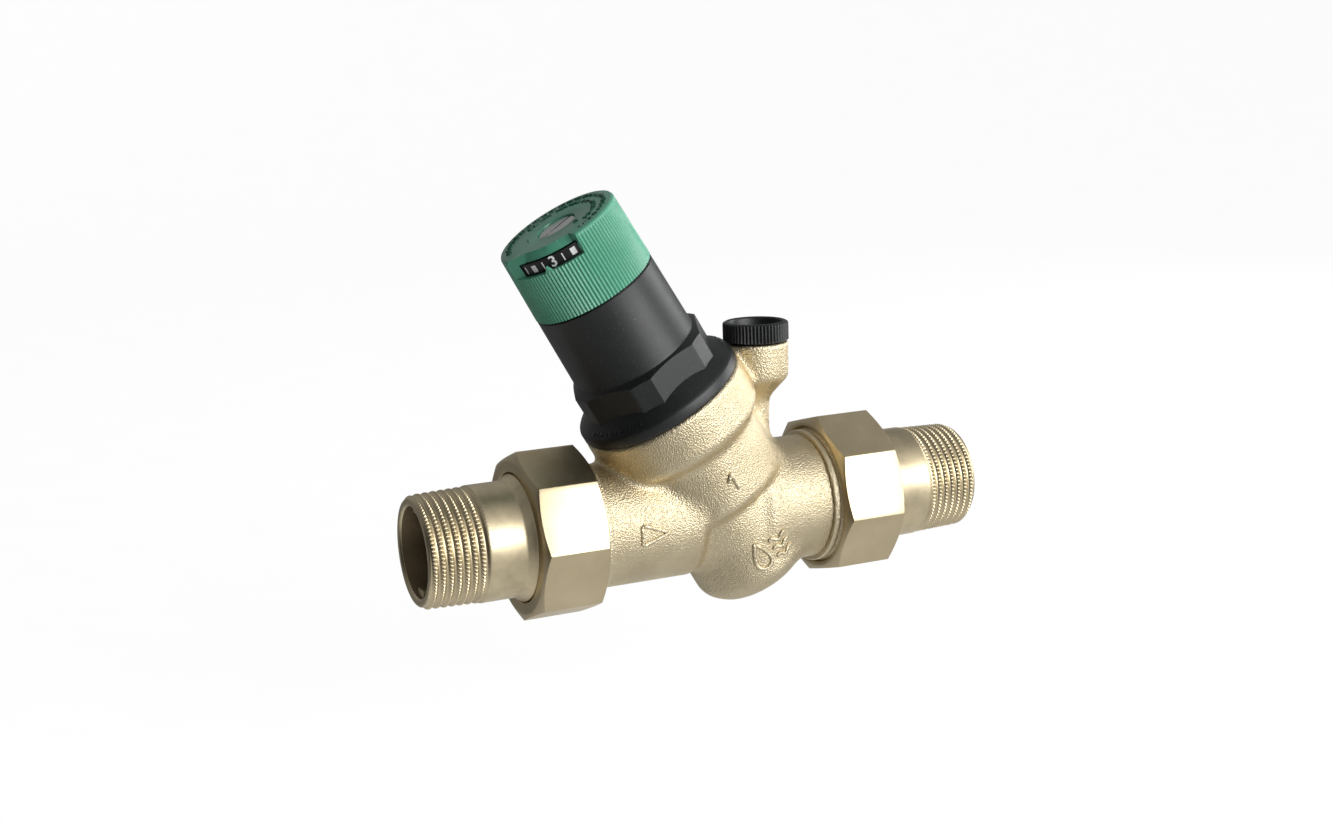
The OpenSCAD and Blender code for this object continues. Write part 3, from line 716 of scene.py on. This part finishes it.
def tailpiece(side, matrix):
    thread_rows, thread_start, thread_end, collar_end = 104, 0.35, 17.5, 38.4
    rows = [thread_start + (thread_end - thread_start) * k / thread_rows for k in range(thread_rows + 1)]
    inner_end = [(FLOW_R, collar_end), (FLOW_R, 0.6), (13.55, 0.0), (PIPE_MOUTH_R, 0.0)]
    outer = [(NECK_R, 18.0), (NECK_R, 27.6), (17.1, 28.4), (18.45, 30.3), (18.6, 30.9), (18.6, 35.0),
             (20.2, 35.0), (20.5, 35.3), (20.5, collar_end)]

    def profile(angle):
        return inner_end + [(pipe_thread_radius(t, angle), t) for t in rows] + outer

    piece = lathe(side + "_threaded_tailpiece", profile, matrix, steps=528, smooth_angle=math.radians(60))
    add_piece(piece, "housing", "turned_brass", [side + "_tailpiece"])
    # The bore's faces take the dark metal that paints the shade inside the pipe.
    piece.data.materials.append(BORE_PAINTED_SHADE)
    for face in piece.data.polygons:
        if math.hypot(face.center.y, face.center.z) < (FLOW_R + 0.15) * MM:
            face.material_index = 1
    lug_r, lug_t, length, width, height = 13.2, 7.4, 12.0, 5.6, 2.3
    places = [((sign * lug_r, 0, lug_t), (0, 0, 1), (-sign, 0, 0), length, width, height)
              for sign in (-1, 1)]
    lugs = marks(side + "_tailpiece_lugs", places, matrix)
    bevel(lugs, 0.35, 2)
    add_piece(lugs, "housing", "turned_brass")


def union_nut(side, matrix, turn):
    """Eight-sided nut: a cone cuts both ends of the flats, which leaves a curved edge on each flat."""
    face_r = 22.2
    corner_r = NUT_FLATS / 2 / math.cos(math.radians(22.5))
    cone_rise = 1.5 / (corner_r + 0.1 - face_r)
    start = math.radians(turn)

    def profile(angle):
        off_middle = math.fmod(angle - start, math.pi / 4) - math.pi / 8
        flat_r = NUT_FLATS / 2 / math.cos(off_middle)
        edge = (flat_r - face_r) * cone_rise
        return [(19.2, 0.0), (face_r, 0.0), (flat_r, edge), (flat_r, NUT_LENGTH - edge),
                (face_r, NUT_LENGTH), (21.5, NUT_LENGTH), (21.0, NUT_LENGTH - 0.6), (21.0, 4.2), (18.9, 4.2),
                (18.9, 0.35)]

    place = matrix @ Matrix.Translation((0, 0, NUT_START * MM))
    nut = lathe(side + "_nut_body", profile, place, 128, start + 1e-9, math.radians(20))
    bevel(nut, 0.16, 2, math.radians(20))
    shade(nut, math.radians(18))
    add_piece(nut, side + "_nut", "nut_brass", [side + "_union_nut"])


def body_end(side, matrix):
    """Machined end of the casting: union thread, then the plain collar that shows beside the nut."""
    rows = int(9.4 / PITCH * 2)
    thread = []
    for k in range(rows + 1):
        thread.append((20.9 if k % 2 else 19.9, BODY_FACE + 1.2 + k * PITCH / 2))
    outline = [(13.1, BODY_FACE), (19.9, BODY_FACE)] + thread + [
        (19.9, 51.2), (20.1, 51.4), (20.3, 51.6), (20.3, 52.5), (20.0, 52.95), (13.1, 52.95)]
    piece = lathe(side + "_union_end", outline, matrix, 144)
    add_piece(piece, "housing", "cast_brass")


# -------------------------------------------- spring bonnet
WRENCH_FLAT, WRENCH_HALF = -83.6, 21.5                     # middle and half width of a wide flat, degrees
GEAR_TURN = 50


def wrench_radius(angle):
    """Hexagon with cut corners: wide flats between narrow ones, all with corners at 22 mm."""
    corner = 22.0
    off = math.fmod(math.degrees(angle) - WRENCH_FLAT + 720 + 30, 60) - 30
    if abs(off) <= WRENCH_HALF:
        return corner * math.cos(math.radians(WRENCH_HALF)) / math.cos(math.radians(off))
    return corner * math.cos(math.radians(30 - WRENCH_HALF)) / math.cos(math.radians(abs(off) - 30))


def bonnet():
    flange_r, flange_top, wrench_top = 25.5, 45.6, 57.4
    cone_rise = 4 / 4.5

    def profile(angle):
        flat_r = wrench_radius(angle)
        foot = flange_top + (flange_r - 0.8 - flat_r) * cone_rise
        head = wrench_top - (flat_r - 19.9) * 0.55
        return [(17.0, 32.7), (22.0, 32.7), (22.5, 33.2), (22.5, 41.6), (25.0, 41.6), (25.35, 41.75),
                (flange_r, 42.1), (flange_r, 44.4), (25.3, 44.9), (24.7, flange_top), (flat_r, foot),
                (flat_r, head), (19.9, wrench_top), (19.5, wrench_top + 0.25), (19.35, wrench_top + 0.9),
                (18.85, 80.9), (18.6, 81.3), (15.6, 81.3), (15.6, 85.7), (15.3, 86.0), (7.6, 86.0),
                (7.6, 91.0), (4.08, 91.0), (4.08, 78.6), (17.0, 78.6)]

    start = math.radians(WRENCH_FLAT - WRENCH_HALF)
    shell = lathe("bonnet_shell", profile, BONNET_FRAME, 6 * 48, start, math.radians(22))
    add_piece(shell, "housing", "black_plastic", ["spring_bonnet"])

    teeth, pitch_r, half_tooth = 20, 6.0, 0.675
    gear = []
    for k in range(teeth * 8):
        wave = math.cos(2 * math.pi * k / 8)
        gear.append(pitch_r + half_tooth * max(-1.0, min(1.0, 1.5 * wave)))
    turn = math.radians(GEAR_TURN)

    def gear_profile(angle):
        r = gear[round((angle - turn) / (2 * math.pi) * len(gear)) % len(gear)]
        return [(4.08, 91.0), (r - 0.2, 91.0), (r, 91.2), (r, 96.7), (r - 0.2, 96.9), (4.08, 96.9)]

    wheel = lathe("bonnet_gear", gear_profile, BONNET_FRAME, len(gear), turn)
    add_piece(wheel, "housing", "black_plastic")

    places = []
    inward, rise = 0.747, 0.664
    mark_r, mark_t, mark_width, mark_height = 24.1, 46.1, 0.45, 0.34
    for first in (-172, -22):
        for k in range(16):
            angle = math.radians(first + 3.0 * k)
            outward = Vector((math.cos(angle), math.sin(angle), 0))
            around = Vector((-math.sin(angle), math.cos(angle), 0))
            slope = Vector((-inward * math.cos(angle), -inward * math.sin(angle), rise))
            normal = Vector((rise * math.cos(angle), rise * math.sin(angle), inward))
            along, size = (around, 0.9) if k % 3 == 1 else (slope, 1.3)
            spot = tuple(mark_r * outward + Vector((0, 0, mark_t)))
            places.append((spot, along, normal, size, mark_width, mark_height))
    add_piece(marks("bonnet_rim_marks", places, BONNET_FRAME), "housing", "black_plastic")


def adjusting_spring():
    """Coil spring in two halves, lower and upper, each baked in place with no body."""
    wire_r, mean_r, turns = 2.3, 12.6, 5
    low, high = 36.9, 64.1
    middle = (low + high) / 2
    flat_part = 0.13
    sides, rings = 12, 180
    for half, body, foot, head in (("lower", "valve_group", low + wire_r, middle - 1.5 * wire_r),
                                   ("upper", "follower", high - wire_r, middle + 1.5 * wire_r)):
        points = []
        for i in range(rings + 1):
            f = i / rings / 2 + (0.5 if half == "upper" else 0.0)
            angle = 2 * math.pi * turns * f
            t = low + (high - low) * min(1.0, max(0.0, (f - flat_part) / (1 - 2 * flat_part)))
            for j in range(sides):
                b = 2 * math.pi * j / sides
                r = mean_r + wire_r * math.cos(b)
                points.append((r * math.cos(angle), r * math.sin(angle), t + wire_r * math.sin(b)))
        faces = []
        tube(faces, 0, sides, rings + 1)
        piece = make_object("adjusting_spring_" + half, points, faces, BONNET_FRAME, math.radians(60))
        add_piece(piece, None, "spring_steel", ["adjusting_spring"])
        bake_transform(piece)


def diaphragm():
    """Rubber diaphragm: its middle moves with the valve, its rim is clamped, the roll between them has no body and
    is baked in place.
    """
    bottom, top, outer_r, roll_top = 30.4, 31.6, 22.2, 32.4
    outline = [(3.35, bottom), (15.3, bottom), (15.3, top), (3.35, top)]
    disc = lathe("diaphragm_disc", outline, BONNET_FRAME, 96)
    add_piece(disc, "valve_group", "rubber", ["diaphragm"])
    outline = [(15.3, bottom + 0.2), (15.3, bottom + 1.0), (15.6, roll_top), (16.0, roll_top)]
    roll = lathe("diaphragm_roll", outline, BONNET_FRAME, 96)
    add_piece(roll, None, "rubber", ["diaphragm"])
    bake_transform(roll)
    outline = [(15.6, roll_top), (16.3, roll_top), (16.7, top), (outer_r, top), (outer_r, bottom),
               (16.3, bottom), (15.9, roll_top - 0.5)]
    rim = lathe("diaphragm_rim", outline, BONNET_FRAME, 96)
    add_piece(rim, "housing", "rubber", ["diaphragm"])


# -------------------------------------------- knob, scale and lock screw
KNOB_RIBS = 108
KNOB_BOTTOM, KNOB_TOP = 81.6, 102.4
WINDOW_LOW, WINDOW_HIGH, WINDOW_FLOOR = -172.0, -99.4, 96.4
POINTER_ANGLE, PLUS_ANGLE, MINUS_ANGLE = -133.0, -70, -200
LINE = 0.45                                                # width of the raised dashes
DEGREES_PER_BAR = 45


def knob_profile(angle):
    wave = 0.5 + 0.5 * math.cos(KNOB_RIBS * angle)
    groove = 0.45 * (1 - wave ** 0.7)

    def wall(t, ribbed=1.0):
        return 18.95 - (t - KNOB_BOTTOM) * 0.028 - groove * ribbed

    outside = [(wall(t, f), t)
               for t, f in ((KNOB_BOTTOM, 0.5), (82.0, 1.0), (90.0, 1.0), (100.9, 1.0), (101.4, 0.5))]
    rim = [(wall(101.7, 0.0) - 0.05, 101.7), (wall(102.1, 0.0) - 0.3, 102.15),
           (wall(KNOB_TOP, 0.0) - 0.75, KNOB_TOP)]
    top = [(6.5, KNOB_TOP), (6.15, KNOB_TOP - 0.15), (6.05, KNOB_TOP - 0.5), (6.05, 99.9), (2.8, 99.9),
           (2.8, 97.3), (7.4, 97.3), (7.4, 100.2), (16.8, 100.2), (16.8, 91.8), (15.9, 91.8),
           (15.9, KNOB_BOTTOM)]
    return outside + rim + top


def knob():
    cap = lathe("knob_cap", knob_profile, BONNET_FRAME, KNOB_RIBS * 6, 0.0, math.radians(40))
    pocket = [(15.9, WINDOW_FLOOR), (16.2, WINDOW_FLOOR), (19.6, WINDOW_FLOOR), (19.6, 104.0), (13.3, 104.0),
              (14.2, KNOB_TOP), (15.6, 100.3), (15.9, 99.7)]
    left_wall, flare_start, flare = WINDOW_LOW + 15, 16.2, (7.4, 1.2)
    cut(cap, sector("pocket", pocket, left_wall, WINDOW_HIGH, BONNET_FRAME, flare_start, flare))
    shade(cap, math.radians(40))
    add_piece(cap, "knob", "green_plastic", ["adjusting_knob"])

    a = math.radians(POINTER_ANGLE)
    outward = Vector((math.cos(a), math.sin(a), 0))
    across = Vector((-math.sin(a), math.cos(a), 0))
    points = []
    foot, tip, half_width = WINDOW_FLOOR - 0.2, WINDOW_FLOOR + 1.7, 1.25
    for r in (17.2, 18.3):
        for side, t in ((-half_width, foot), (half_width, foot), (0, tip)):
            points.append(tuple(r * outward + side * across + Vector((0, 0, t))))
    faces = [(0, 1, 2), (5, 4, 3), (0, 3, 4, 1), (1, 4, 5, 2), (2, 5, 3, 0)]
    pointer = make_object("knob_pointer", points, faces, BONNET_FRAME)
    bevel(pointer, 0.12, 2)
    add_piece(pointer, "knob", "green_plastic")

    pin_r, pin_angle = 10.2, math.radians(GEAR_TURN)
    pin_spot = (pin_r * math.cos(pin_angle) * MM, pin_r * math.sin(pin_angle) * MM, 0)
    pin_place = BONNET_FRAME @ Matrix.Translation(pin_spot)
    pin = lathe("pinion_pin", [(0, 92.1), (1.3, 92.1), (1.5, 92.3), (1.5, 96.9), (2.6, 96.9), (2.6, 100.4),
                               (0, 100.4)], pin_place, 48)
    add_piece(pin, "knob", "green_plastic")
    knob_top_marks()


def knob_top_marks():
    """Raised graduation on the knob's face: two rings of dashes, with a plus and a minus, in a darker green that
    paints the shade on their sides.
    """
    places = []

    def dash(radius, degrees, length, width, radial):
        a = math.radians(degrees)
        outward_in_plane = Vector((math.cos(a), math.sin(a), 0))
        along = outward_in_plane if radial else Vector((-math.sin(a), math.cos(a), 0))
        places.append((tuple(radius * outward_in_plane + Vector((0, 0, KNOB_TOP))), along, (0, 0, 1),
                       length, width, 0.35))

    for k in range(96):
        degrees = WINDOW_HIGH + 14 + k * 2.7
        if k % 4 == 3 or degrees > WINDOW_LOW + 360 - 6:
            continue
        dash(15.5, degrees, 1.9 if k % 2 else 1.3, LINE, k % 3 != 1)
    for k in range(40):
        degrees = WINDOW_HIGH + 34 + k * 4.6
        if k % 5 == 4:
            continue
        dash(12.3, degrees, 1.7, LINE, k % 2 == 0)
    for degrees, radial in ((PLUS_ANGLE, False), (PLUS_ANGLE, True), (MINUS_ANGLE, False)):
        dash(9.0, degrees, 1.9, LINE, radial)
    piece = marks("knob_face_marks", places, BONNET_FRAME)
    # The darker green paints the shade on the marks' sides.
    add_piece(piece, "knob", "green_plastic", (), MATERIALS["green_painted_shade"])


def scale_marks():
    """White graduation: 45 degrees a bar, with numbers at whole bars and bars at the halves."""
    skin = 16.53
    middle = 98.1
    first_bar, last_bar = 1.5, 6.0
    three_bar = -36.4 - 90
    zero = three_bar - 3 * DEGREES_PER_BAR

    def wrapped(x, y, degrees, depth):
        angle = math.radians(degrees) + x / skin
        return ((skin + depth) * math.cos(angle), (skin + depth) * math.sin(angle), middle + y)

    points, faces = [], []

    def patch(outline, degrees):
        first = len(points)
        for depth in (-0.05, 0.03):
            points.extend(wrapped(x, y, degrees, depth) for x, y in outline)
        tube(faces, first, len(outline), 2)

    for k in range(int((last_bar - first_bar) * 4) + 1):
        bar = first_bar + k / 4
        degrees = zero + DEGREES_PER_BAR * bar
        if k % 4 != 2:
            x, y = (0.17, 1.1) if k % 2 else (0.8, 1.05)
            patch([(-x, -y), (x, -y), (x, y), (-x, y)], degrees)
    ticks = make_object("scale_ticks", points, faces, BONNET_FRAME)
    add_piece(ticks, "scale", "scale_plastic", (), PRINT_WHITE)

    for number in range(2, 7):
        curve = bpy.data.curves.new("digit", "FONT")
        curve.body = str(number)
        curve.size = 4.5
        curve.align_x = "CENTER"
        curve.align_y = "CENTER"
        curve.offset = 0.06
        curve.extrude = 0.04
        curve.resolution_u = 4
        source = add_object("digit", curve)
        bpy.context.view_layer.update()
        flat = bpy.data.meshes.new_from_object(source.evaluated_get(bpy.context.evaluated_depsgraph_get()))
        bpy.data.objects.remove(source)
        corners = [wrapped(v.co.x, v.co.y, zero + DEGREES_PER_BAR * number, v.co.z) for v in flat.vertices]
        sides = [tuple(face.vertices) for face in flat.polygons]
        digit = make_object("scale_number_%d" % number, corners, sides, BONNET_FRAME)
        add_piece(digit, "scale", "scale_plastic", (), PRINT_WHITE)


def screw():
    """Slotted lock screw in the knob's centre."""
    outline = [(0, 88.0), (2.2, 88.0), (2.42, 88.3), (2.42, 100.0), (5.6, 100.0), (5.85, 100.2),
               (5.85, 101.55), (5.7, 101.8), (5.4, 101.9), (0, 101.9)]
    head = lathe("lock_screw_head", outline, BONNET_FRAME, 96)
    slot = make_object("slot", [(x, y, z) for x in (-8, 8) for y in (-0.6, 0.6) for z in (100.9, 103)],
                       [(0, 1, 3, 2), (4, 6, 7, 5), (0, 4, 5, 1), (2, 3, 7, 6), (0, 2, 6, 4), (1, 5, 7, 3)],
                       BONNET_FRAME @ Matrix.Rotation(math.radians(12), 4, "Z"))
    cut(head, slot)
    shade(head)
    add_piece(head, "knob_screw", "zinc_steel", ["lock_screw"])


# -------------------------------------------- gauge port plug
def gauge_plug():
    ribs = 56

    def profile(angle):
        groove = 0.42 * (0.5 + 0.5 * math.cos(ribs * angle)) ** 1.6

        def wall(ribbed):
            return 9.9 - groove * ribbed

        return [(0, 38.6), (6.2, 38.6), (6.5, 38.9), (6.5, 49.9), (9.3, 49.9), (wall(0.6), 50.2),
                (wall(1), 50.6), (wall(1), 54.9), (wall(0.6) - 0.1, 55.35), (9.35, 55.65), (9.0, 55.8),
                (8.45, 55.8), (8.1, 55.6), (7.95, 55.2), (7.8, 53.0), (7.4, 52.5), (5.4, 52.5), (5.1, 52.7),
                (4.9, 53.5), (4.5, 53.7), (0, 53.7)]

    piece = lathe("gauge_port_plug", profile, GAUGE_FRAME, ribs * 8, 0.0, math.radians(40))
    add_piece(piece, "plug", "black_plastic", ["gauge_plug"])


# -------------------------------------------- camera, floor and light
# Each lobe of the surroundings: its direction, the cosines where it starts and is full, and its gain.
WORLD_LEVEL, WORLD_LEAST = 0.17, 0.03
WORLD_LOBES = (
    ((0, -0.3, -1), 0.0, 0.8, 0.42),
    ((0.55, 0.80, -0.35), 0.85, 0.98, 0.45),
    ((0.40, -0.75, 0.45), 0.50, 0.95, 0.45),
    ((0.0, 0.9, 0.45), 0.75, 0.98, 0.15),
    ((0.3, 0.3, 0.9), 0.7, 1.0, 0.12),
    ((-0.85, -0.45, -0.1), 0.55, 0.95, -0.35),
)


def look_frame(azimuth, elevation, roll):
    """Camera axes for a view: azimuth 0 looks along +Y, elevation above the horizon."""
    azimuth, elevation, roll = (math.radians(a) for a in (azimuth, elevation, roll))
    back = Vector((math.sin(azimuth) * math.cos(elevation), -math.cos(azimuth) * math.cos(elevation),
                   math.sin(elevation)))
    right = Vector((0, 0, 1)).cross(back).normalized()
    up = back.cross(right)
    turned_right = math.cos(roll) * right + math.sin(roll) * up
    turned_up = math.cos(roll) * up - math.sin(roll) * right
    return turned_right, turned_up, back


def camera():
    aim, distance = Vector((0.0851, 0.0123, 0.0288)), 0.5454
    azimuth, elevation, roll = -24.49, 11.17, -1.97
    right, up, back = look_frame(azimuth, elevation, roll)
    data = bpy.data.cameras.new("camera")
    data.sensor_width = 36.0
    data.lens = 48.64
    data.clip_start, data.clip_end = 0.01, 50.0
    piece = add_object("camera", data)
    place = aim + distance * back
    piece.matrix_world = Matrix((
        (right.x, up.x, back.x, place.x),
        (right.y, up.y, back.y, place.y),
        (right.z, up.z, back.z, place.z),
        (0, 0, 0, 1),
    ))
    bpy.context.scene.camera = piece


def softbox(name, direction, distance, size, radiance):
    """Rectangular light seen from the object along a direction, with a given brightness."""
    data = bpy.data.lights.new(name, "AREA")
    data.shape = "RECTANGLE"
    data.size, data.size_y = size
    data.energy = radiance * math.pi * size[0] * size[1]
    middle = Vector((LENGTH / 2, 0.0, 0.03))
    piece = add_object(name, data)
    piece.location = middle + Vector(direction).normalized() * distance
    piece.rotation_euler = (middle - piece.location).to_track_quat("-Z", "Y").to_euler()
    piece.visible_camera = False


def floor():
    """White floor that curves up into a round wall, so that no horizon shows from any side."""
    height = cad_box[0][2] / MM - 40
    flat_r, curve_r, wall_height, steps = 1500, 1200, 4000, 64
    outline = [(0, height), (900, height), (flat_r, height)]
    for k in range(1, 13):
        turn = math.radians(90 * k / 12)
        outline.append((flat_r + curve_r * math.sin(turn), height + curve_r * (1 - math.cos(turn))))
    outline.append((flat_r + curve_r, height + wall_height))
    points, faces = [], []
    for k in range(steps):
        angle = 2 * math.pi * k / steps
        points += [(MM * r * math.cos(angle), MM * r * math.sin(angle), MM * z) for r, z in outline]
    count = len(outline)
    for k in range(steps):
        here, there = k * count, (k + 1) % steps * count
        faces += [(here + i, there + i, there + i + 1, here + i + 1) for i in range(count - 1)]
    mesh = bpy.data.meshes.new("floor")
    mesh.from_pydata(points, [], faces)
    mesh.shade_smooth()
    piece = add_object("floor", mesh)
    n = Nodes("floor_paper")
    n.shader.inputs["Emission Color"].default_value = (1.0, 1.0, 1.0, 1.0)
    paper = n.colours(n.noise(30, 3.0), (0.15, 0.15, 0.15), (0.17, 0.17, 0.17))
    n.finish(paper, 0.9, Emission_Strength=0.92, Specular_IOR_Level=0.0)
    mesh.materials.append(n.material)
    piece.visible_glossy = False
    piece.visible_diffuse = False


def studio_world():
    """What the metal mirrors: a dim room, lighter below and to the right, darker to the left."""
    world = bpy.data.worlds.new("studio")
    world.use_nodes = True
    tree = world.node_tree
    background = tree.nodes["Background"]
    direction = tree.nodes.new("ShaderNodeTexCoord").outputs["Generated"]

    def lobe(towards, low, high, gain):
        dot = tree.nodes.new("ShaderNodeVectorMath")
        dot.operation = "DOT_PRODUCT"
        tree.links.new(direction, dot.inputs[0])
        dot.inputs[1].default_value = Vector(towards).normalized()
        ramp = tree.nodes.new("ShaderNodeMapRange")
        ramp.interpolation_type = "SMOOTHSTEP"
        ramp.inputs["From Min"].default_value = low
        ramp.inputs["From Max"].default_value = high
        ramp.inputs["To Max"].default_value = gain
        tree.links.new(dot.outputs["Value"], ramp.inputs["Value"])
        return ramp.outputs["Result"]

    total = None
    for towards, low, high, gain in WORLD_LOBES:
        add = tree.nodes.new("ShaderNodeMath")
        add.operation = "ADD"
        add.inputs[0].default_value = WORLD_LEVEL
        if total:
            tree.links.new(total, add.inputs[0])
        tree.links.new(lobe(towards, low, high, gain), add.inputs[1])
        total = add.outputs["Value"]
    darkest = tree.nodes.new("ShaderNodeMath")
    darkest.operation = "MAXIMUM"
    darkest.inputs[1].default_value = WORLD_LEAST
    tree.links.new(total, darkest.inputs[0])
    tree.links.new(darkest.outputs["Value"], background.inputs["Strength"])
    background.inputs["Color"].default_value = (1.0, 1.0, 1.0, 1.0)
    bpy.context.scene.world = world


def studio():
    floor()
    studio_world()
    softbox("key_light", (0.41, -0.87, 0.29), 1.1, (0.95, 0.55), 5.3)
    softbox("right_light", (0.97, 0.12, 0.16), 1.1, (0.65, 0.65), 3.6)
    bpy.context.scene.view_settings.view_transform = "Standard"


camera()
studio()
cast_body()
casting_marks()
for side_name, side_frame, nut_turn in (("inlet", INLET_FRAME, 0.0), ("outlet", OUTLET_FRAME, -7.5)):
    tailpiece(side_name, side_frame)
    union_nut(side_name, side_frame, nut_turn)
    body_end(side_name, side_frame)
bonnet()
adjusting_spring()
diaphragm()
knob()
scale_marks()
screw()
gauge_plug()
NODE_MATERIALS = {part["node"]: part["material_slot"] for part in frame["record"]["subparts"]}
for node_name, node_object in frame["nodes"].items():
    node_object.data.materials.clear()
    node_object.data.materials.append(MATERIALS[NODE_MATERIALS[node_name]])
frame["nodes"]["strainer_sleeve"].data.materials[0] = STRAINER_MESH
